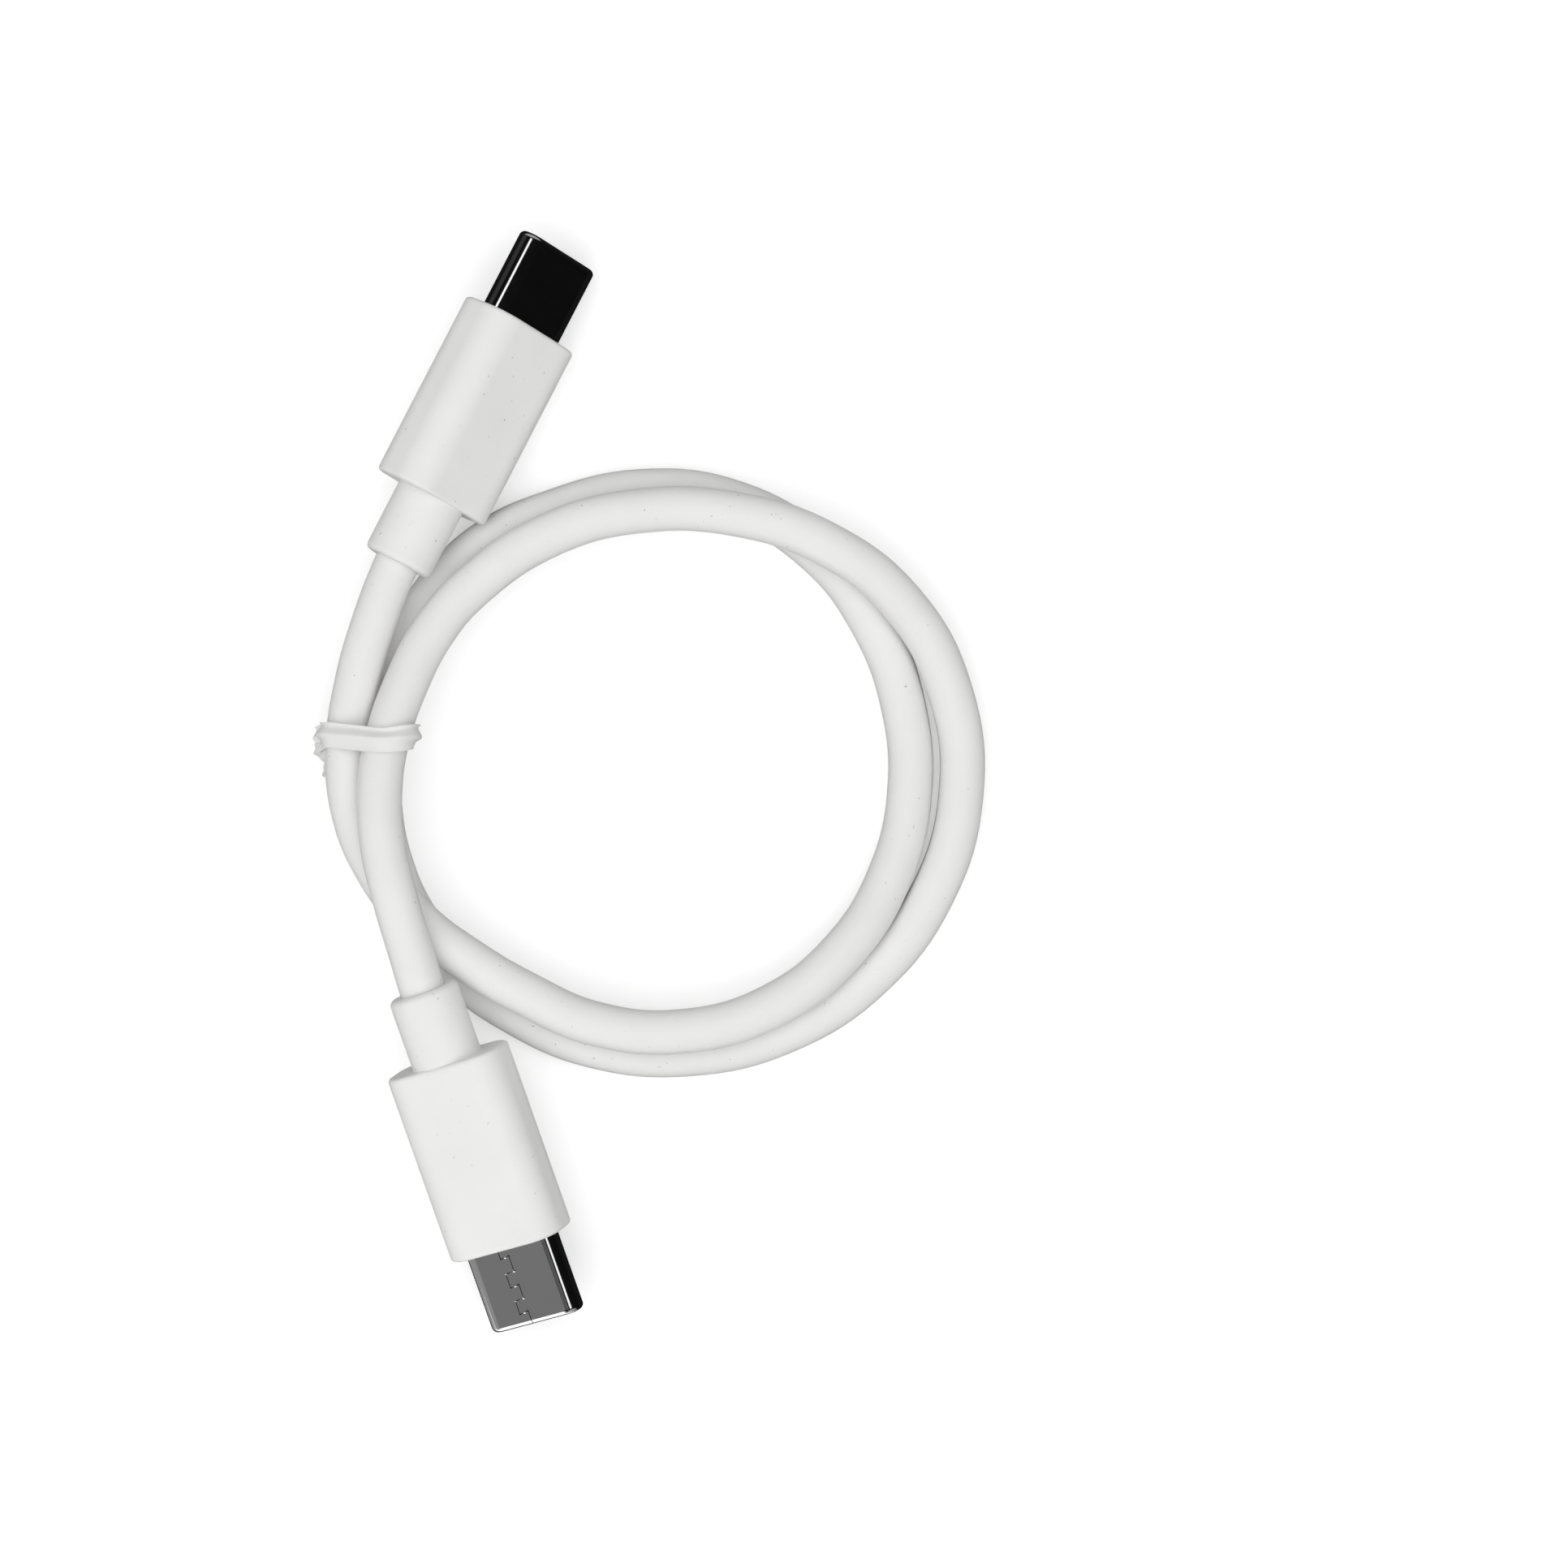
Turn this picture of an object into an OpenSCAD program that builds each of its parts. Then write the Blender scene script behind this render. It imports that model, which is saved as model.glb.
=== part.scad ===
/* [Cable] */
// Outer diameter of the cable's jacket
cable_d = 3.7; // [3.4:0.1:3.8]
// Sides of the plain tube that stands for the cable
cable_sides = 8; // [8:1:12]

/* [Plug moulding] */
// Width of the white moulding
mould_w = 10.1; // [9.6:0.1:10.4]
// Thickness of the white moulding
mould_h = 6.3; // [5.8:0.1:6.6]
// Rounding of its four long edges
mould_r = 2.4; // [1.8:0.1:2.6]
// Length of the white moulding's thick part
mould_l = 15.9; // [15.4:0.1:17]
// Rounding of the moulding's end edges
mould_edge_r = 0.35; // [0.2:0.05:0.6]
// Diameter of the round collar behind it
collar_d = 5.8; // [5.6:0.1:5.9]
// Length of the round collar
collar_l = 6; // [5:0.1:7]
// Rounding of the collar's rim
collar_edge_r = 0.5; // [0.2:0.05:0.7]

/* [Metal plug tube] */
// Width of the rolled steel tube
tube_w = 8.25; // [8.2:0.01:8.3]
// Thickness of the rolled steel tube
tube_h = 2.4; // [2.36:0.01:2.44]
// Thickness of the steel sheet
tube_wall = 0.25; // [0.2:0.01:0.26]
// Length that stands out of the moulding
tube_out = 6.8; // [6.65:0.05:6.9]
// Length held inside the moulding
tube_in = 6; // [5.5:0.1:6]
// Rounding of the front edge, where the sheet turns in
tip_r = 0.45; // [0.3:0.05:0.5]
// Width of the seam where the rolled sheet's edges meet
seam_gap = 0.07; // [0.05:0.01:0.12]
// Sideways reach of the seam's interlocking teeth
seam_step = 0.8; // [0.5:0.05:1]

/* [Contacts] */
// Distance between contact positions
contact_pitch = 0.5; // [0.48:0.01:0.52]
// Width of one contact spring
contact_w = 0.24; // [0.2:0.01:0.28]
// Thickness of one contact spring
contact_t = 0.15; // [0.1:0.01:0.16]

/* [Twist tie] */
// Width of the coated tie
tie_w = 2.4; // [2:0.1:3]
// Thickness of the tie's flat coating
tie_t = 0.25; // [0.2:0.05:0.3]
// Diameter of the coated wire in the tie's middle
tie_wire_d = 0.7; // [0.5:0.05:0.8]

/* [Hidden] */
$fn = 48;

white = [0.93, 0.93, 0.92];
steel = [0.62, 0.62, 0.63];

// Small step that makes a cut run past the face it opens
past = 0.1;
// Room between two pieces that are fitted together
fit = 0.02;

cable_r = cable_d / 2;
collar_end = -mould_l - collar_l;

// Each plug's own frame has its origin in the middle of the moulding's front face, +X towards the
// tip, +Y across the wide side and +Z through the thickness.
// A pose is the place of that origin, the heading, the nose-down pitch and the roll
pose_a = [[3.45, 37.7, 4.85], 62.8, 3, 223.5];
pose_b = [[2.76, -37.03, 5.5], -70.9, 6.5, 22];

// Board and contacts behind the tube
board_front = -6.3;
board_l = 6.1;
board_w = 6.6;
board_t = 0.6;

// Block moulded round the board, with the pocket that holds it
block_front = -6.05;
block_rear = -14.2;
block_w = 8.3;
block_h = 3.8;
pocket_rear = -13.4;
pocket_w = 7.5;
pocket_h = 2.6;
// Place along the plug where the cable's jacket ends
jacket_end = -13.95;
cable_bore_r = cable_r + 0.05;

// Turned-in front edge of the tube: its length and how far its opening is inside the tube's outside
lip_l = 0.35;
lip_in = 0.42;

// Plastic body inside the tube, with its mouth for the mating tongue
body_front = 6.4;
body_rear = -5.9;
body_fit = 0.04;
mouth_w = 6.7;
mouth_h = 0.9;
mouth_rear = 0.4;
slot_w = 0.34;
slot_low = 0.28;
slot_high = 0.72;
slot_front = 5.75;

// Contact positions that a power and slow data cable fills, of the twelve in each row
upper_row = [1, 4, 5, 6, 7, 9, 12];
lower_row = [1, 4, 5, 9, 12];
// Side view of one contact's middle line, from its solder tail to its tip
contact_line = [[-7.8, 0.42], [-0.2, 0.42], [0.6, 0.52], [3.6, 0.43], [4.4, 0.37], [5, 0.46], [5.5, 0.6]];

// Steel plate between the rows, with an arm on each side that catches the socket
latch_t = 0.2;
latch_arm_h = 0.4;
latch_arm_out = 3.56;
latch_arm_in = 3.32;
latch_tail = -7.6;
latch_hook_in = 3.05;

// Thin springs outside the plastic body that touch the socket's shield
spring_t = 0.1;
spring_w = 5.2;
spring_rear = 1.2;
spring_front = 5.7;
finger_w = 0.8;
finger_l = 2.4;
finger_count = 4;

wire_r = 0.35;
wire_core_r = 0.16;
wire_pitch = 0.8;
wire_count = 4;
wire_end = -10.9;
wire_core_l = 0.8;

// Seam: where along the tube the line of the sheet's edges steps from one side to the other
seam_y = -0.88;
seam_steps = [0.85, 2.15, 3.35, 4.5, 5.65];
seam_flare = 0.07;

// Middle of the two turns, seen from above
coil_x = 15.2;
coil_y = 1.4;
// Way of the cable from plug b to the first turn: x, y, z
lead_b = [[-5.3, -13.2, 8.83], [-6.5, -9, 9.65], [-7.5, -4.7, 9.6], [-7.8, -0.3, 8.9], [-7.2, 4.1, 7.9],
          [-5.8, 8.3, 6.9], [-3.7, 12.5, 6.1], [-0.7, 16.1, 5.6]];
// First turn, clockwise: angle about the coil's middle, radius, height
turn_1 = [[115, 21.3, 5.35], [95, 21.2, 5.4], [75, 21.6, 5.7], [55, 22.6, 5.7], [35, 23.7, 4.5],
          [15, 24.2, 2.7], [-5, 24.3, 1.9], [-25, 24.1, 1.85], [-45, 23.8, 1.85], [-65, 23.5, 1.85],
          [-85, 23.3, 1.85], [-105, 23.3, 1.85]];
// Back through the tie, under the other two stretches
middle = [[2.7, -18.3, 1.85], [-1.7, -15.1, 1.85], [-5.1, -11, 1.85], [-7.3, -6.2, 1.9],
          [-8.2, -1, 2.4], [-8.1, 4.2, 2.75], [-7.1, 9.1, 2.4], [-5.2, 13.5, 1.95], [-2.6, 17.2, 1.85],
          [1, 20.3, 1.85]];
// Second turn, clockwise
turn_2 = [[115, 23.1, 1.85], [95, 22.9, 1.85], [75, 22.6, 1.85], [55, 21.8, 1.85], [35, 20.8, 1.85],
          [15, 20.2, 1.85], [-5, 20.1, 1.9], [-25, 20.3, 2.7], [-45, 20.7, 4.2], [-65, 21.1, 5.2],
          [-85, 21.3, 5.5], [-105, 21.4, 5.5]];
// From the second turn up through the tie to plug a
lead_a = [[3.7, -16.7, 5.5], [-0.7, -14.1, 5.55], [-4.9, -10.9, 5.6], [-8.1, -6.8, 5.7], [-10.1, -2, 5.8],
          [-10.55, 3.3, 5.7], [-9.8, 8.6, 5.8], [-8.4, 13.5, 5.9]];

tie_y = 4.2;
// Middles of the three stretches inside the tie: x and z
tied = [[-10.5, 5.7], [-7.05, 7.95], [-8.05, 2.75]];
tie_room = 0.45;
tail_start = [-12.65, 4.2, 3.5];
tail_end = [-11.15, -0.8, 1.2];
tail_strand_d = 0.75;
tail_turn = 540;

function on_turn(p) = [coil_x + p[1] * cos(p[0]), coil_y + p[1] * sin(p[0]), p[2]];
// Point on a plug's axis, at the distance x from its moulding's front face
function on_axis(pose, x) =
    pose[0] + x * [cos(pose[1]) * cos(pose[2]), sin(pose[1]) * cos(pose[2]), -sin(pose[2])];

cable_route = concat(
    [on_axis(pose_b, jacket_end), on_axis(pose_b, collar_end)], lead_b,
    [for (p = turn_1) on_turn(p)], middle, [for (p = turn_2) on_turn(p)], lead_a,
    [on_axis(pose_a, collar_end), on_axis(pose_a, jacket_end)]);

function unit(v) = v / norm(v);
function heading_at(path, i) =
    unit(path[min(i + 1, len(path) - 1)] - path[max(i - 1, 0)]);
// One ring of the tube, square to the path and with a corner straight down
function ring_at(path, i, r, sides) =
    let (t = heading_at(path, i),
         side = unit(cross(t, [0, 0, 1])),
         up = cross(side, t))
    [for (k = [0:sides - 1]) path[i] + r * (cos(360 * k / sides - 90) * side + sin(360 * k / sides - 90) * up)];

module swept_tube(path, r, sides) {
    last = (len(path) - 1) * sides;
    points = [for (i = [0:len(path) - 1]) each ring_at(path, i, r, sides)];
    walls = [for (i = [0:len(path) - 2], k = [0:sides - 1], half = [0, 1])
        let (a = i * sides + k, b = i * sides + (k + 1) % sides)
        half == 0 ? [a, b, b + sides] : [a, b + sides, a + sides]];
    start_face = [for (k = [sides - 1:-1:0]) k];
    end_face = [for (k = [0:sides - 1]) last + k];
    polyhedron(points, concat([start_face], walls, [end_face]));
}

module on_plug(pose)
    translate(pose[0]) rotate([0, 0, pose[1]]) rotate([0, pose[2], 0]) rotate([pose[3], 0, 0])
        children();

// Pushes a flat shape, drawn across Y and Z, along X from x0 to x1
module along_x(x0, x1)
    translate([x0, 0, 0]) rotate([90, 0, 90]) linear_extrude(x1 - x0) children();

// Pushes a side view, drawn in X and Z, across Y
module across_y(w)
    rotate([90, 0, 0]) linear_extrude(w, center = true) children();

module stadium(w, h) {
    square([w - h, h], center = true);
    for (s = [-1, 1])
        translate([s * (w - h) / 2, 0]) circle(d = h);
}

module rounded_rect(l, h, r) {
    translate([r, -h / 2]) square([l - 2 * r, h]);
    translate([0, r - h / 2]) square([l, h - 2 * r]);
    for (x = [r, l - r], y = [r - h / 2, h / 2 - r])
        translate([x, y]) circle(r);
}

// Half of a turned bar with rounded ends, for turning about its length
module turned_side(radius, l, r) {
    square([radius - r, l]);
    translate([0, r]) square([radius, l - 2 * r]);
    for (y = [r, l - r])
        translate([radius - r, y]) circle(r);
}

// Flat bar with long edges rounded by r and end edges rounded by end_r
module rounded_bar(w, h, r, x0, x1, end_r)
    translate([x0, 0, 0]) {
        across_y(w - 2 * r) rounded_rect(x1 - x0, h, end_r);
        if (h > 2 * r)
            linear_extrude(h - 2 * r, center = true) rounded_rect(x1 - x0, w, end_r);
        for (y = [-1, 1], z = h > 2 * r ? [-1, 1] : [0])
            translate([0, y * (w / 2 - r), z * (h / 2 - r)]) rotate([0, 90, 0])
                rotate_extrude() turned_side(r, x1 - x0, end_r);
    }

module box(x0, x1, w, h)
    translate([x0, -w / 2, -h / 2]) cube([x1 - x0, w, h]);

module cable()
    color(white) swept_tube(cable_route, cable_r, cable_sides);

// Thick part and collar are one soft moulding, hollow where the block, tube and jacket sit
module overmould(pose)
    color(white) on_plug(pose) difference() {
        union() {
            rounded_bar(mould_w, mould_h, mould_r, -mould_l, 0, mould_edge_r);
            translate([collar_end, 0, 0]) rotate([0, 90, 0])
                rotate_extrude() turned_side(collar_d / 2, collar_l + 2, collar_edge_r);
        }
        along_x(-tube_in - fit, past) stadium(tube_w + 2 * fit, tube_h + 2 * fit);
        box(block_rear - fit, -tube_in, block_w + 2 * fit, block_h + 2 * fit);
        translate([collar_end - past, 0, 0]) rotate([0, 90, 0])
            cylinder(r = cable_bore_r, h = block_rear - collar_end + 2 * past);
    }

// Line of the sheet's edges, as seen from above the tube
function seam_line() = concat(
    [[-tube_in - past, seam_y]],
    [for (i = [0:len(seam_steps) - 1], k = [0, 1])
        let (high = (i + k) % 2 == 1,
             lean = i % 2 == 0 ? -seam_flare : seam_flare)
        [seam_steps[i] + (k == 0 ? -lean : lean), seam_y + (high ? seam_step : 0)]],
    [[tube_out + past, seam_y + (len(seam_steps) % 2 == 1 ? seam_step : 0)]]);

module seam_cut() {
    line = seam_line();
    translate([0, 0, tube_h / 2 - 2 * tube_wall]) linear_extrude(3 * tube_wall) {
        for (i = [0:len(line) - 2])
            translate(line[i])
                rotate(atan2(line[i + 1][1] - line[i][1], line[i + 1][0] - line[i][0]))
                    translate([0, -seam_gap / 2]) square([norm(line[i + 1] - line[i]), seam_gap]);
        for (i = [1:len(line) - 2])
            translate(line[i]) circle(d = 1.6 * seam_gap, $fn = 16);
    }
}

// Steel sheet rolled to a flat tube, with interlocking teeth where its edges meet
module plug_shell(pose)
    color(steel) on_plug(pose) difference() {
        rounded_bar(tube_w, tube_h, tube_h / 2, -tube_in - 1, tube_out, tip_r);
        box(-tube_in - 1 - past, -tube_in, tube_w + 2 * past, tube_h + 2 * past);
        along_x(-tube_in - past, tube_out - lip_l)
            stadium(tube_w - 2 * tube_wall, tube_h - 2 * tube_wall);
        along_x(tube_out - lip_l - past, tube_out + past)
            stadium(tube_w - 2 * lip_in, tube_h - 2 * lip_in);
        seam_cut();
    }

module contact_slots(row, side)
    for (p = row)
        translate([0, (p - 6.5) * contact_pitch * side, 0])
            translate([body_rear - past, -slot_w / 2, side > 0 ? slot_low : -slot_high])
                cube([slot_front - body_rear + past, slot_w, slot_high - slot_low]);

module insulator(pose) {
    body_w = tube_w - 2 * tube_wall - 2 * body_fit;
    body_h = tube_h - 2 * tube_wall - 2 * body_fit;
    color([0.12, 0.12, 0.13]) on_plug(pose) difference() {
        along_x(body_rear, body_front) stadium(body_w, body_h);
        box(mouth_rear, body_front + past, mouth_w, mouth_h);
        box(body_rear - past, mouth_rear + past, 2 * latch_arm_out + 0.1, latch_t + 0.06);
        for (s = [-1, 1])
            translate([0, s * (latch_arm_in + latch_arm_out) / 2, 0])
                box(body_rear - past, 5.9, latch_arm_out - latch_arm_in + 0.16, latch_arm_h + 0.1);
        contact_slots(upper_row, 1);
        contact_slots(lower_row, -1);
        for (s = [-1, 1])
            translate([0, 0, s * (body_h / 2 - spring_t / 2)])
                box(spring_rear - 0.1, spring_front + 0.1, spring_w + 0.2, spring_t + 0.04);
    }
}

module contact()
    across_y(contact_w)
        polygon(concat([for (p = contact_line) p + [0, contact_t / 2]],
                       [for (i = [len(contact_line) - 1:-1:0]) contact_line[i] - [0, contact_t / 2]]));

module upper_contacts(pose)
    color("gold") on_plug(pose)
        for (p = upper_row)
            translate([0, (p - 6.5) * contact_pitch, 0]) contact();

module lower_contacts(pose)
    color("gold") on_plug(pose)
        for (p = lower_row)
            translate([0, (6.5 - p) * contact_pitch, 0]) mirror([0, 0, 1]) contact();

module latch_arm_outline()
    polygon([[latch_tail, latch_arm_out], [latch_tail, latch_arm_out - 0.16],
             [-5.8, latch_arm_in], [3.6, latch_arm_in], [4.5, latch_hook_in],
             [4.8, latch_hook_in], [5.2, latch_arm_in], [5.2, latch_arm_out]]);

module latch(pose)
    color(steel) on_plug(pose) {
        box(-5.7, mouth_rear - 0.2, 2 * latch_arm_in + 0.2, latch_t);
        for (s = [0, 1])
            mirror([0, s, 0]) translate([0, 0, -latch_arm_h / 2])
                linear_extrude(latch_arm_h) latch_arm_outline();
    }

module ground_spring_outline() {
    finger_gap = spring_w / finger_count;
    translate([spring_rear, -spring_w / 2]) square([spring_front - finger_l - spring_rear, spring_w]);
    for (i = [0:finger_count - 1])
        translate([spring_rear, (i + 0.5) * finger_gap - spring_w / 2 - finger_w / 2])
            square([spring_front - spring_rear, finger_w]);
}

module ground_springs(pose) {
    outside = tube_h / 2 - tube_wall - body_fit;
    color(steel) on_plug(pose)
        for (s = [0, 1])
            mirror([0, 0, s]) translate([0, 0, outside - spring_t])
                linear_extrude(spring_t) ground_spring_outline();
}

module circuit_board(pose)
    color([0.1, 0.35, 0.2]) on_plug(pose) box(board_front - board_l, board_front, board_w, board_t);

module inner_mould(pose)
    color([0.9, 0.88, 0.82]) on_plug(pose) difference() {
        box(block_rear, block_front, block_w, block_h);
        box(pocket_rear, block_front + past, pocket_w, pocket_h);
        translate([block_rear - past, 0, 0]) rotate([0, 90, 0])
            cylinder(r = cable_bore_r, h = pocket_rear - block_rear + 2 * past);
    }

module wire_end(shade)
    color(shade) {
        wire_z = board_t / 2 + fit + wire_r;
        translate([jacket_end + fit, 0, wire_z]) rotate([0, 90, 0])
            cylinder(r = wire_r, h = wire_end - jacket_end - fit);
        translate([wire_end - past, 0, wire_z]) rotate([0, 90, 0])
            cylinder(r = wire_core_r, h = wire_core_l + past);
        translate([wire_end + 0.1, -0.25, board_t / 2 + fit]) cube([0.6, 0.5, wire_r]);
    }

module wire_ends(pose)
    on_plug(pose)
        for (i = [0:wire_count - 1])
            translate([0, (i - (wire_count - 1) / 2) * wire_pitch, 0])
                wire_end(["red", "white", "green", "black"][i]);

// Outline of the tie round the three stretches, as far outside them as given
module tie_outline(out)
    hull()
        for (p = tied)
            translate(p) circle(cable_r + tie_room + out, $fn = 24);

module tie_band(out, w)
    translate([0, tie_y, 0]) across_y(w) difference() {
        tie_outline(out);
        tie_outline(0);
    }

module twist_tail() {
    way = tail_end - tail_start;
    translate(tail_start)
        rotate([0, acos(way[2] / norm(way)), atan2(way[1], way[0])])
            linear_extrude(norm(way), twist = tail_turn, slices = 16)
                for (s = [-1, 1])
                    translate([s * tail_strand_d * 0.4, 0]) circle(d = tail_strand_d, $fn = 8);
}

module twist_tie()
    color(white) {
        tie_band(tie_t, tie_w);
        tie_band(tie_wire_d - 0.25, tie_wire_d);
        twist_tail();
    }

cable();
twist_tie();
overmould(pose_a);  // overmould_a
plug_shell(pose_a);  // plug_shell_a
insulator(pose_a);  // insulator_a
upper_contacts(pose_a);  // upper_contacts_a
lower_contacts(pose_a);  // lower_contacts_a
latch(pose_a);  // latch_a
ground_springs(pose_a);  // ground_springs_a
circuit_board(pose_a);  // circuit_board_a
inner_mould(pose_a);  // inner_mould_a
wire_ends(pose_a);  // wire_ends_a
overmould(pose_b);  // overmould_b
plug_shell(pose_b);  // plug_shell_b
insulator(pose_b);  // insulator_b
upper_contacts(pose_b);  // upper_contacts_b
lower_contacts(pose_b);  // lower_contacts_b
latch(pose_b);  // latch_b
ground_springs(pose_b);  // ground_springs_b
circuit_board(pose_b);  // circuit_board_b
inner_mould(pose_b);  // inner_mould_b
wire_ends(pose_b);  // wire_ends_b
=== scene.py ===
import math

import bpy
from mathutils import Matrix, Vector


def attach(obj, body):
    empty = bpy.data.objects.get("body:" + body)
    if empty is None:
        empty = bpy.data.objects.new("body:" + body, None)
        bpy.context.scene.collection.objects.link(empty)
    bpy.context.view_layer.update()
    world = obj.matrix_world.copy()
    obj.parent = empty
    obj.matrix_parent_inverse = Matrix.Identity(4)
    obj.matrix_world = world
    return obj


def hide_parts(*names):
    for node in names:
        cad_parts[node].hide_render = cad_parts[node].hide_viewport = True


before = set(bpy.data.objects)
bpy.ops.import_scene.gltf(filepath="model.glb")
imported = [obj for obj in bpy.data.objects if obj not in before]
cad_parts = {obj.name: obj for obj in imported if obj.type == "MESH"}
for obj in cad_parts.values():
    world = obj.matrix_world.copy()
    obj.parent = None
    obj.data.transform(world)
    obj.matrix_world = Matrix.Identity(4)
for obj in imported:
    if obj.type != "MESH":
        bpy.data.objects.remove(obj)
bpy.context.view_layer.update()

MM = 0.001

# Sizes of the real object, in metres
CABLE_D = 3.7 * MM
CABLE_R = CABLE_D / 2
MOULD_L = 15.9 * MM
COLLAR_L = 6.0 * MM
JACKET_END = -13.95 * MM
COLLAR_END = -MOULD_L - COLLAR_L

# Each plug's pose: middle of the moulding's front face, heading, nose-down pitch, roll
POSE_A = (Vector((3.45, 37.7, 4.85)) * MM, 62.8, 3.0, 223.5)
POSE_B = (Vector((2.76, -37.03, 5.5)) * MM, -70.9, 6.5, 22.0)

# The cable's way, in millimetres, as the construction has it
COIL_X, COIL_Y = 15.2, 1.4
LEAD_B = [(-5.3, -13.2, 8.83), (-6.5, -9, 9.65), (-7.5, -4.7, 9.6), (-7.8, -0.3, 8.9), (-7.2, 4.1, 7.9),
          (-5.8, 8.3, 6.9), (-3.7, 12.5, 6.1), (-0.7, 16.1, 5.6)]
# Turns are clockwise: angle about the coil's middle, radius, height
TURN_1 = [(115, 21.3, 5.35), (95, 21.2, 5.4), (75, 21.6, 5.7), (55, 22.6, 5.7), (35, 23.7, 4.5),
          (15, 24.2, 2.7), (-5, 24.3, 1.9), (-25, 24.1, 1.85), (-45, 23.8, 1.85), (-65, 23.5, 1.85),
          (-85, 23.3, 1.85), (-105, 23.3, 1.85)]
MIDDLE = [(2.7, -18.3, 1.85), (-1.7, -15.1, 1.85), (-5.1, -11, 1.85), (-7.3, -6.2, 1.9),
          (-8.2, -1, 2.4), (-8.1, 4.2, 2.75), (-7.1, 9.1, 2.4), (-5.2, 13.5, 1.95), (-2.6, 17.2, 1.85),
          (1, 20.3, 1.85)]
TURN_2 = [(115, 23.1, 1.85), (95, 22.9, 1.85), (75, 22.6, 1.85), (55, 21.8, 1.85), (35, 20.8, 1.85),
          (15, 20.2, 1.85), (-5, 20.1, 1.9), (-25, 20.3, 2.7), (-45, 20.7, 4.2), (-65, 21.1, 5.2),
          (-85, 21.3, 5.5), (-105, 21.4, 5.5)]
LEAD_A = [(3.7, -16.7, 5.5), (-0.7, -14.1, 5.55), (-4.9, -10.9, 5.6), (-8.1, -6.8, 5.7), (-10.1, -2, 5.8),
          (-10.55, 3.3, 5.7), (-9.8, 8.6, 5.8), (-8.4, 13.5, 5.9)]

# Twist tie: where it sits along the cable, and the three stretches inside it as x, z and the
# slopes of the stretch, sideways and upwards
TIE_Y = 4.25
TIED = [(-10.5, 5.7, 0.0, 0.0), (-7.1, 7.93, 0.23, -0.23), (-8.1, 2.75, 0.1, 0.0)]
TIE_INNER_R = 2.08
# Angles between which the band lies on each stretch, the step between its points there, and how far
# it bows towards plug b over the middle stretch: depth, x of the deepest point, width
TIE_ARCS = [(215, 125), (125, -8), (-8, -142)]
ARC_STEP = 9
TIE_BOW, TIE_BOW_X, TIE_BOW_W = 0.5, -7.6, 2.2
# Where its two ends come together and turn into the twisted tail, and where the tail ends
TAIL_ROOT = (-13.05, 3.9, 3.4)
TAIL_END = (-11.6, -0.2, 1.3)
TAIL_TURNS = 1.15
TAIL_STEPS = 36
# Cross section of the strip, across its width and outwards: a flat lower edge, the ridge over the
# wire, and a narrow upper edge that curls away from the cable
STRIP = [(-1.0, 0.02), (-1.03, 0.15), (-0.75, 0.13), (-0.42, 0.22), (-0.18, 0.46), (-0.04, 0.6), (0.1, 0.62),
         (0.28, 0.5), (0.56, 0.24), (0.74, 0.12), (0.88, 0.16), (0.98, 0.26), (1.05, 0.24), (0.98, 0.08),
         (0.8, 0.02), (0.4, -0.02), (-0.4, -0.02)]
# Cross section of the tail: the two strips laid back to back
TWISTED_PAIR = [(-0.82, 0.05), (-0.62, 0.14), (-0.36, 0.36), (0.0, 0.24), (0.36, 0.36), (0.62, 0.14),
                (0.82, 0.05), (0.82, -0.05), (0.62, -0.14), (0.36, -0.36), (0.0, -0.24), (-0.36, -0.36),
                (-0.62, -0.14), (-0.82, -0.05)]

# Seam in each tip's sheet: the pressed spots at its corners, as x, y and size along and across
TIP_TOP = 1.2
SEAM_SPOTS = [(0.87, -0.42, 0.2, 0.34), (2.13, -0.08, 0.3, 0.28), (2.2, -0.86, 0.2, 0.2),
              (3.36, -0.4, 0.2, 0.34), (4.48, -0.08, 0.3, 0.28), (4.54, -0.86, 0.2, 0.2),
              (5.66, -0.42, 0.2, 0.36)]
SPOT_RISE = 0.035
SPOT_LEAN = 12.0

# What the photograph shows: the frame's width and middle on the surface, in metres
VIEW_W = 128.8 * MM
VIEW_X, VIEW_Y = 24.93 * MM, 0.27 * MM
CAMERA_H = 0.6

# Light: brightness of the panel overhead and of the room, of the room as metal shows it, and of the
# white surface's own glow in front of the camera; then the two pale walls that metal shows as well,
# as direction, brightness and the cosines where it starts and is full
OVERHEAD_GLOW = 1.5
ROOM_GLOW = 0.38
ROOM_IN_METAL = 0.004
FLOOR_GLOW = 0.38
PALE_WALLS = [((0.26, 0.97, 0.0), 0.55, 0.45, 0.85), ((0.47, -0.81, 0.34), 0.45, 0.82, 0.96)]

OVERHEAD, OVERHEAD_SIZE = (-0.12, -0.25, 0.9), (1.4, 1.4)
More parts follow.
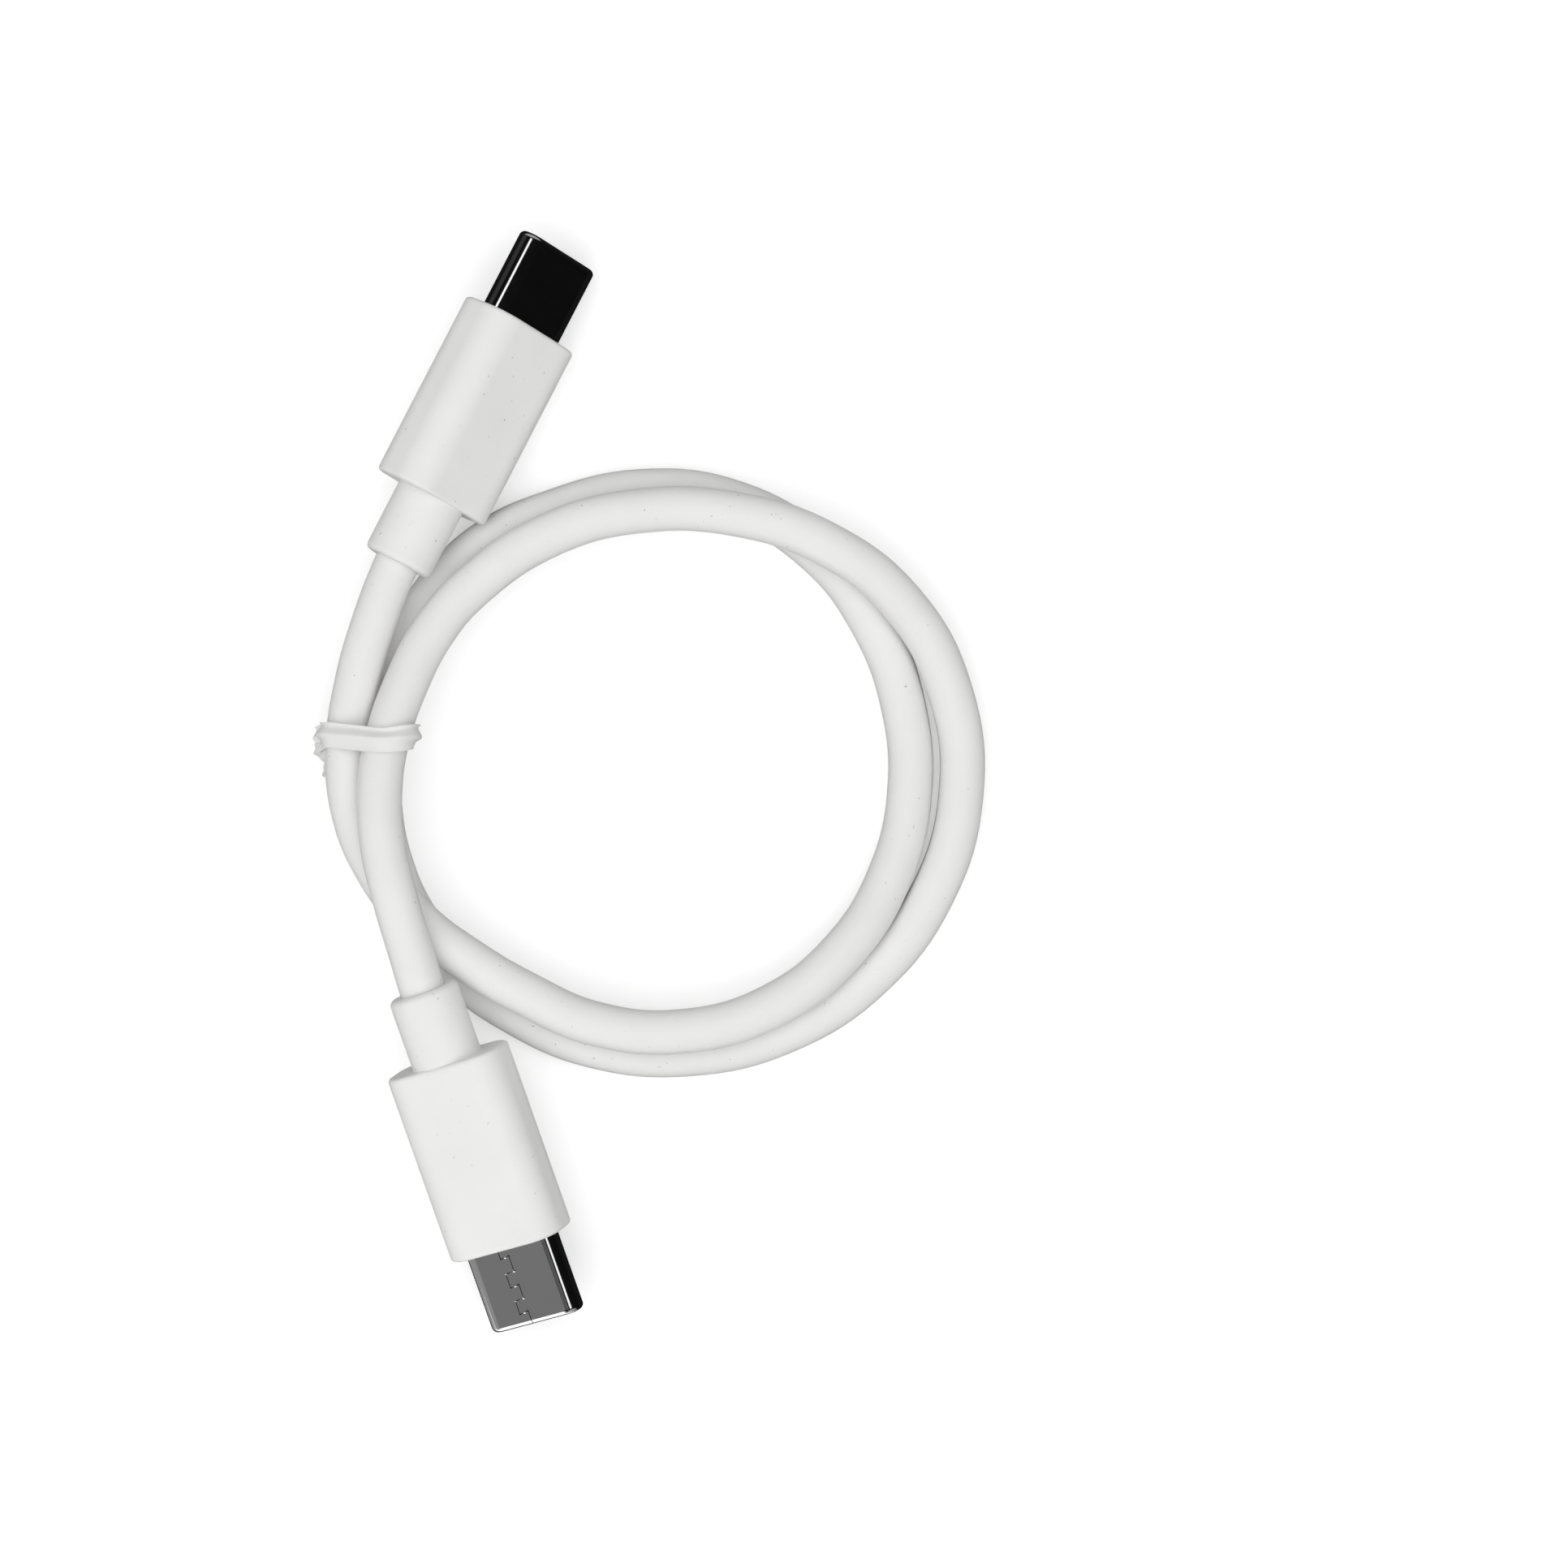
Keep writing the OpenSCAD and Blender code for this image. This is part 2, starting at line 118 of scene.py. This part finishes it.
# Panels that only metal shows: name, middle, size, brightness, and the way it faces. Two lamps above
# draw the bright line along each tip's edge, cards to the left and above give the flat side of tip b
# its greys, one behind on the left the rounded side of tip a, and one ahead the edge of tip b
DOWN, FROM_LEFT, FROM_BEHIND, FROM_AHEAD = (0, 0, -1), (0.87, 0.49, 0), (0.81, -0.59, 0), (0.37, 0.93, 0)
METAL_PANELS = [
    ("line_on_tip_a", (-0.109, 0.244, 0.85), (0.21, 0.15), 1.6, DOWN),
    ("line_on_tip_b", (0.294, -0.235, 0.85), (0.22, 0.15), 1.6, DOWN),
    ("left_card_high", (-0.7, -0.39, 0.815), (0.8, 0.87), 0.236, FROM_LEFT),
    ("left_card_low", (-0.7, -0.39, 0.19), (0.8, 0.38), 0.37, FROM_LEFT),
    ("card_above", (-0.14, -0.38, 0.85), (0.36, 0.26), 0.13, DOWN),
    ("card_behind", (-0.645, 0.51, 0.3), (0.4, 0.6), 0.04, FROM_BEHIND),
    ("card_ahead", (-0.295, -0.786, 0.25), (0.36, 0.5), 1.8, FROM_AHEAD),
]
# Sheets of light on the surface, before and beside tip b: name, place, size, brightness, turn
PAPERS = [
    ("paper_ahead", (-0.003, -0.15), (0.05, 0.19), 1.8, 0),
    ("paper_beside", (-0.136, -0.113), (0.3, 0.06), 0.37, 28),
]
PAPER_Z = 0.0004


def turn_point(angle, radius, height):
    a = math.radians(angle)
    return (COIL_X + radius * math.cos(a), COIL_Y + radius * math.sin(a), height)


def plug_frame(pose):
    """Matrix from a plug's own frame to the object's."""
    place, heading, pitch, roll = pose
    return (Matrix.Translation(place) @ Matrix.Rotation(math.radians(heading), 4, "Z")
            @ Matrix.Rotation(math.radians(pitch), 4, "Y") @ Matrix.Rotation(math.radians(roll), 4, "X"))


def on_axis(pose, x):
    return plug_frame(pose) @ Vector((x, 0, 0))


def cable_way():
    """Every point of the route, in metres."""
    turns_1 = [turn_point(*p) for p in TURN_1]
    turns_2 = [turn_point(*p) for p in TURN_2]
    loose = [Vector(p) * MM for p in LEAD_B + turns_1 + MIDDLE + turns_2 + LEAD_A]
    return ([on_axis(POSE_B, JACKET_END), on_axis(POSE_B, COLLAR_END)] + loose
            + [on_axis(POSE_A, COLLAR_END), on_axis(POSE_A, JACKET_END)])


def make_camera():
    data = bpy.data.cameras.new("camera")
    data.sensor_width = 36.0
    data.lens = data.sensor_width * CAMERA_H / VIEW_W
    data.clip_start, data.clip_end = 0.01, 10.0
    camera = bpy.data.objects.new("camera", data)
    bpy.context.scene.collection.objects.link(camera)
    camera.location = (VIEW_X, VIEW_Y, CAMERA_H)
    bpy.context.scene.camera = camera


def make_cable(way):
    data = bpy.data.curves.new("cable_jacket", "CURVE")
    data.dimensions = "3D"
    data.resolution_u = 8
    data.bevel_depth = CABLE_R
    data.bevel_resolution = 6
    data.use_fill_caps = True
    spline = data.splines.new("BEZIER")
    spline.bezier_points.add(len(way) - 1)
    for point, place in zip(spline.bezier_points, way):
        point.co = place
        point.handle_left_type = point.handle_right_type = "AUTO"
    piece = bpy.data.objects.new("cable_jacket", data)
    bpy.context.scene.collection.objects.link(piece)
    return piece


def sweep_section(name, way, section, turns, stand=Matrix.Identity(4)):
    """Pushes a flat section along a way, both in millimetres, turned as given, and closes its ends.

    The section's width starts upright and its outer side to the left of the way. At the end the
    piece is stood up by the given matrix."""
    outline = bpy.data.curves.new(name + "_section", "CURVE")
    outline.dimensions = "2D"
    outline.fill_mode = "NONE"
    ring = outline.splines.new("POLY")
    ring.points.add(len(section) - 1)
    ring.use_cyclic_u = True
    for point, (across, out) in zip(ring.points, section):
        point.co = (-out * MM, -across * MM, 0, 1)
    outline = bpy.data.objects.new(name + "_section", outline)
    bpy.context.scene.collection.objects.link(outline)
    data = bpy.data.curves.new(name, "CURVE")
    data.dimensions = "3D"
    data.twist_mode = "Z_UP"
    data.bevel_mode = "OBJECT"
    data.bevel_object = outline
    data.use_fill_caps = True
    spline = data.splines.new("POLY")
    spline.points.add(len(way) - 1)
    for point, place, turn in zip(spline.points, way, turns):
        point.co = (*(Vector(place) * MM), 1)
        point.tilt = turn
    piece = bpy.data.objects.new(name, data)
    bpy.context.scene.collection.objects.link(piece)
    select_only(piece)
    bpy.ops.object.convert(target="MESH")
    piece = bpy.context.object
    piece.data.transform(stand)
    bpy.data.objects.remove(outline)
    bpy.ops.object.mode_set(mode="EDIT")
    bpy.ops.mesh.select_all(action="SELECT")
    bpy.ops.mesh.remove_doubles(threshold=0.002 * MM)
    bpy.ops.mesh.normals_make_consistent(inside=False)
    bpy.ops.object.mode_set(mode="OBJECT")
    bpy.ops.object.shade_smooth_by_angle(angle=math.radians(50))
    return piece


def select_only(*pieces):
    bpy.ops.object.select_all(action="DESELECT")
    for piece in pieces:
        piece.select_set(True)
    bpy.context.view_layer.objects.active = pieces[0]


def tie_way():
    """Once round the three stretches, clockwise as seen from plug b, from the tail's root back to it.

    Gives the points as x, z and -y, and for each the turn that lays the strip along the stretch
    under it."""
    root = (TAIL_ROOT[0], TAIL_ROOT[2], -TAIL_ROOT[1])
    way, turns = [root], [0.0]
    for (x, z, slope_x, slope_z), (start, end) in zip(TIED, TIE_ARCS):
        steps = round((start - end) / ARC_STEP)
        for i in range(steps + 1):
            a = math.radians(start + (end - start) * i / steps)
            px, pz = x + TIE_INNER_R * math.cos(a), z + TIE_INNER_R * math.sin(a)
            on_top = pz > 6
            bow = TIE_BOW * math.exp(-((px - TIE_BOW_X) / TIE_BOW_W) ** 2) if on_top else 0.0
            way.append((px, pz, bow - TIE_Y))
            turns.append(math.atan(slope_x * math.cos(a) + slope_z * math.sin(a)))
    way.append(root)
    turns.append(0.0)
    return way, turns


def make_twist_tie():
    way, turns = tie_way()
    band = sweep_section("twist_tie_strip", way, STRIP, turns, Matrix.Rotation(math.radians(90), 4, "X"))
    root, end = Vector(TAIL_ROOT), Vector(TAIL_END)
    tail_way = [root.lerp(end, i / TAIL_STEPS) for i in range(TAIL_STEPS + 1)]
    turns = [TAIL_TURNS * 2 * math.pi * i / TAIL_STEPS for i in range(TAIL_STEPS + 1)]
    tail = sweep_section("twist_tie_tail", tail_way, TWISTED_PAIR, turns)
    select_only(band, tail)
    bpy.ops.object.join()
    return band


def make_seam_spots(end, pose):
    """Small pressed spots that lock the tip's sheet where its edges meet."""
    spots = []
    for x, y, along, across in SEAM_SPOTS:
        bpy.ops.object.select_all(action="DESELECT")
        bpy.ops.mesh.primitive_uv_sphere_add(segments=20, ring_count=12, radius=1.0)
        spot = bpy.context.object
        spot.data.transform(plug_frame(pose) @ Matrix.Translation(Vector((x, y, TIP_TOP)) * MM)
                            @ Matrix.Rotation(math.radians(SPOT_LEAN), 4, "Y")
                            @ Matrix.Diagonal((along / 2 * MM, across / 2 * MM, SPOT_RISE * MM, 1)))
        spots.append(spot)
    select_only(*spots)
    bpy.ops.object.join()
    bpy.ops.object.shade_smooth()
    spots[0].name = "seam_spots_" + end
    return spots[0]


class Nodes:
    """A short way to write a material's node tree."""

    def __init__(self, name):
        self.material = bpy.data.materials.new(name)
        self.material.use_nodes = True
        self.tree = self.material.node_tree
        self.tree.nodes.clear()
        self.out = self.add("ShaderNodeOutputMaterial")

    def add(self, kind, **values):
        node = self.tree.nodes.new(kind)
        for key, value in values.items():
            setattr(node, key, value)
        return node

    def link(self, a, b):
        self.tree.links.new(a, b)

    def noise(self, scale, detail=2.0, roughness=0.5):
        node = self.add("ShaderNodeTexNoise")
        node.inputs["Scale"].default_value = scale
        node.inputs["Detail"].default_value = detail
        node.inputs["Roughness"].default_value = roughness
        self.link(self.coordinates, node.inputs["Vector"])
        return node.outputs["Fac"]

    @property
    def coordinates(self):
        if not hasattr(self, "_coordinates"):
            self._coordinates = self.add("ShaderNodeTexCoord").outputs["Object"]
        return self._coordinates

    def ramp(self, value, low, high, from_colour, to_colour):
        node = self.add("ShaderNodeValToRGB")
        node.color_ramp.elements[0].position = low
        node.color_ramp.elements[1].position = high
        node.color_ramp.elements[0].color = (*from_colour, 1)
        node.color_ramp.elements[1].color = (*to_colour, 1)
        self.link(value, node.inputs["Fac"])
        return node.outputs["Color"]

    def bump(self, height, strength, distance, under=None):
        node = self.add("ShaderNodeBump")
        node.inputs["Strength"].default_value = strength
        node.inputs["Distance"].default_value = distance
        self.link(height, node.inputs["Height"])
        if under:
            self.link(under, node.inputs["Normal"])
        return node.outputs["Normal"]

    def surface(self, colour, roughness, metallic=0.0, normal=None):
        node = self.add("ShaderNodeBsdfPrincipled")
        node.inputs["Metallic"].default_value = metallic
        for socket, value in (("Base Color", colour), ("Roughness", roughness)):
            if isinstance(value, (int, float)):
                node.inputs[socket].default_value = value
            elif isinstance(value, tuple):
                node.inputs[socket].default_value = (*value, 1)
            else:
                self.link(value, node.inputs[socket])
        if normal:
            self.link(normal, node.inputs["Normal"])
        self.link(node.outputs["BSDF"], self.out.inputs["Surface"])
        return node


def soft_plastic(name, tone, grain, rough=(0.4, 0.5)):
    """White moulded soft plastic: fine spark-eroded grain and a few dark specks."""
    m = Nodes(name)
    clean = tuple(c * 0.97 for c in tone)
    blotch = m.ramp(m.noise(180, 3.0), 0.3, 0.7, clean, tone)
    speck = m.ramp(m.noise(2600, 2.0, 0.6), 0.735, 0.76, (1, 1, 1), (0.45, 0.44, 0.43))
    mix = m.add("ShaderNodeMix", data_type="RGBA", blend_type="MULTIPLY")
    mix.inputs[0].default_value = 1.0
    m.link(blotch, mix.inputs[6])
    m.link(speck, mix.inputs[7])
    gloss = m.ramp(m.noise(300, 2.0), 0.3, 0.7, (rough[0],) * 3, (rough[1],) * 3)
    normal = m.bump(m.noise(grain, 3.0, 0.6), 0.25, 0.03 * MM)
    m.surface(mix.outputs[2], gloss, normal=normal)
    return m.material


def polished_steel(name, tone, rough=(0.1, 0.13)):
    m = Nodes(name)
    wear = m.ramp(m.noise(900, 4.0, 0.6), 0.35, 0.75, (rough[0],) * 3, (rough[1],) * 3)
    colour = m.ramp(m.noise(250, 3.0), 0.3, 0.7, tuple(c * 0.97 for c in tone), tone)
    m.surface(colour, wear, metallic=1.0)
    return m.material


def plain_plastic(name, tone, rough):
    m = Nodes(name)
    colour = m.ramp(m.noise(700, 3.0), 0.3, 0.7, tuple(c * 0.85 for c in tone), tone)
    normal = m.bump(m.noise(4000, 2.0), 0.2, 0.02 * MM)
    m.surface(colour, rough, normal=normal)
    return m.material


def gold_plate(name):
    m = Nodes(name)
    colour = m.ramp(m.noise(1200, 3.0), 0.3, 0.7, (0.83, 0.6, 0.25), (0.95, 0.74, 0.36))
    gloss = m.ramp(m.noise(2000, 2.0), 0.3, 0.7, (0.18,) * 3, (0.3,) * 3)
    m.surface(colour, gloss, metallic=1.0)
    return m.material


def dress_node(name, material):
    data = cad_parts[name].data
    data.materials.clear()
    data.materials.append(material)


def dress_plugs():
    white = soft_plastic("white_moulding", (0.87, 0.87, 0.86), 5200)
    steel = polished_steel("rolled_steel", (0.66, 0.66, 0.67))
    spring = polished_steel("spring_steel", (0.6, 0.6, 0.61), (0.2, 0.28))
    black = plain_plastic("black_plastic", (0.03, 0.03, 0.032), 0.45)
    gold = gold_plate("contact_plating")
    green = plain_plastic("board", (0.03, 0.2, 0.09), 0.35)
    cream = plain_plastic("inner_plastic", (0.75, 0.72, 0.63), 0.4)
    wire = plain_plastic("wire_plastic", (0.5, 0.06, 0.05), 0.4)
    finishes = {"overmould": white, "plug_shell": steel, "insulator": black, "upper_contacts": gold,
                "lower_contacts": gold, "latch": spring, "ground_springs": spring,
                "circuit_board": green, "inner_mould": cream, "wire_ends": wire}
    for end in ("a", "b"):
        for part, material in finishes.items():
            dress_node(f"{part}_{end}", material)
    return steel


def make_floor():
    bpy.ops.mesh.primitive_plane_add(size=6.0, location=(0, 0, 0))
    floor = bpy.context.object
    floor.name = "floor"
    m = Nodes("floor_white_dark_in_reflections")
    rays = m.add("ShaderNodeLightPath")
    # Painted reflection: glossy rays see the floor near black (0.01) instead of white, so metal shows a dark
    # surface below it. All other rays see it white (0.8).
    shade = m.add("ShaderNodeMix", data_type="RGBA")
    shade.inputs[6].default_value = (0.8, 0.8, 0.8, 1)
    shade.inputs[7].default_value = (0.01, 0.01, 0.01, 1)
    m.link(rays.outputs["Is Glossy Ray"], shade.inputs[0])
    paper = m.add("ShaderNodeBsdfDiffuse")
    m.link(shade.outputs[2], paper.inputs["Color"])
    glow = m.add("ShaderNodeEmission")
    glow.inputs["Color"].default_value = (1, 1, 1, 1)
    glow.inputs["Strength"].default_value = FLOOR_GLOW
    both = m.add("ShaderNodeAddShader")
    m.link(paper.outputs[0], both.inputs[0])
    m.link(glow.outputs[0], both.inputs[1])
    pick = m.add("ShaderNodeMixShader")
    m.link(rays.outputs["Is Camera Ray"], pick.inputs[0])
    m.link(paper.outputs[0], pick.inputs[1])
    m.link(both.outputs[0], pick.inputs[2])
    m.link(pick.outputs[0], m.out.inputs["Surface"])
    floor.data.materials.append(m.material)


def make_panel(name, place, size, glow, faces, lights_white=False):
    """A rectangle of light, `glow` bright. Unless it lights the white parts, only metal shows it."""
    data = bpy.data.lights.new(name, "AREA")
    data.shape = "RECTANGLE"
    data.size, data.size_y = size
    data.energy = glow * math.pi * size[0] * size[1]
    panel = bpy.data.objects.new(name, data)
    bpy.context.scene.collection.objects.link(panel)
    panel.location = place
    panel.rotation_euler = Vector(faces).to_track_quat("-Z", "Y").to_euler()
    panel.visible_camera = False
    panel.visible_glossy = not lights_white
    panel.visible_diffuse = lights_white
    return panel


def make_paper(name, place, size, glow, turn):
    paper = make_panel(name, (*place, PAPER_Z), size, glow, (0, 0, 1))
    paper.rotation_euler = (math.pi, 0, math.radians(turn))


def make_lights():
    make_panel("overhead", OVERHEAD, OVERHEAD_SIZE, OVERHEAD_GLOW, DOWN, lights_white=True)
    for panel in METAL_PANELS:
        make_panel(*panel)
    for paper in PAPERS:
        make_paper(*paper)


def make_world():
    world = bpy.data.worlds.new("room")
    bpy.context.scene.world = world
    world.use_nodes = True
    tree = world.node_tree
    back = tree.nodes["Background"]
    back.inputs["Color"].default_value = (1, 1, 1, 1)
    rays = tree.nodes.new("ShaderNodeLightPath")
    direction = tree.nodes.new("ShaderNodeTexCoord").outputs["Generated"]
    in_metal = None
    for towards, glow, start, full in PALE_WALLS:
        cosine = tree.nodes.new("ShaderNodeVectorMath")
        cosine.operation = "DOT_PRODUCT"
        cosine.inputs[1].default_value = towards
        tree.links.new(direction, cosine.inputs[0])
        wall = tree.nodes.new("ShaderNodeMapRange")
        wall.interpolation_type = "SMOOTHSTEP"
        wall.inputs["From Min"].default_value = start
        wall.inputs["From Max"].default_value = full
        wall.inputs["To Min"].default_value = ROOM_IN_METAL
        wall.inputs["To Max"].default_value = glow
        tree.links.new(cosine.outputs["Value"], wall.inputs["Value"])
        if in_metal:
            brighter = tree.nodes.new("ShaderNodeMath")
            brighter.operation = "MAXIMUM"
            tree.links.new(in_metal, brighter.inputs[0])
            tree.links.new(wall.outputs["Result"], brighter.inputs[1])
            in_metal = brighter.outputs[0]
        else:
            in_metal = wall.outputs["Result"]
    for_metal = tree.nodes.new("ShaderNodeMapRange")
    for_metal.inputs["To Min"].default_value = ROOM_GLOW
    for_camera = tree.nodes.new("ShaderNodeMapRange")
    for_camera.inputs["To Max"].default_value = 1.0
    tree.links.new(in_metal, for_metal.inputs["To Max"])
    tree.links.new(rays.outputs["Is Glossy Ray"], for_metal.inputs["Value"])
    tree.links.new(rays.outputs["Is Camera Ray"], for_camera.inputs["Value"])
    tree.links.new(for_metal.outputs["Result"], for_camera.inputs["To Min"])
    tree.links.new(for_camera.outputs["Result"], back.inputs["Strength"])


bpy.ops.object.select_all(action="DESELECT")
make_camera()
way = cable_way()
cable = make_cable(way)
cable.data.materials.append(soft_plastic("cable_white", (0.86, 0.86, 0.85), 4200))
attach(cable, "root")
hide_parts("cable")
steel = dress_plugs()
tie = make_twist_tie()
tie.data.materials.append(soft_plastic("tie_white", (0.86, 0.86, 0.85), 5000))
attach(tie, "root")
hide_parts("twist_tie")
spots = {}
for end, pose in (("a", POSE_A), ("b", POSE_B)):
    spots[end] = make_seam_spots(end, pose)
    spots[end].data.materials.append(steel)
    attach(spots[end], "root")

make_floor()
make_lights()
make_world()
bpy.context.scene.view_settings.view_transform = "Standard"
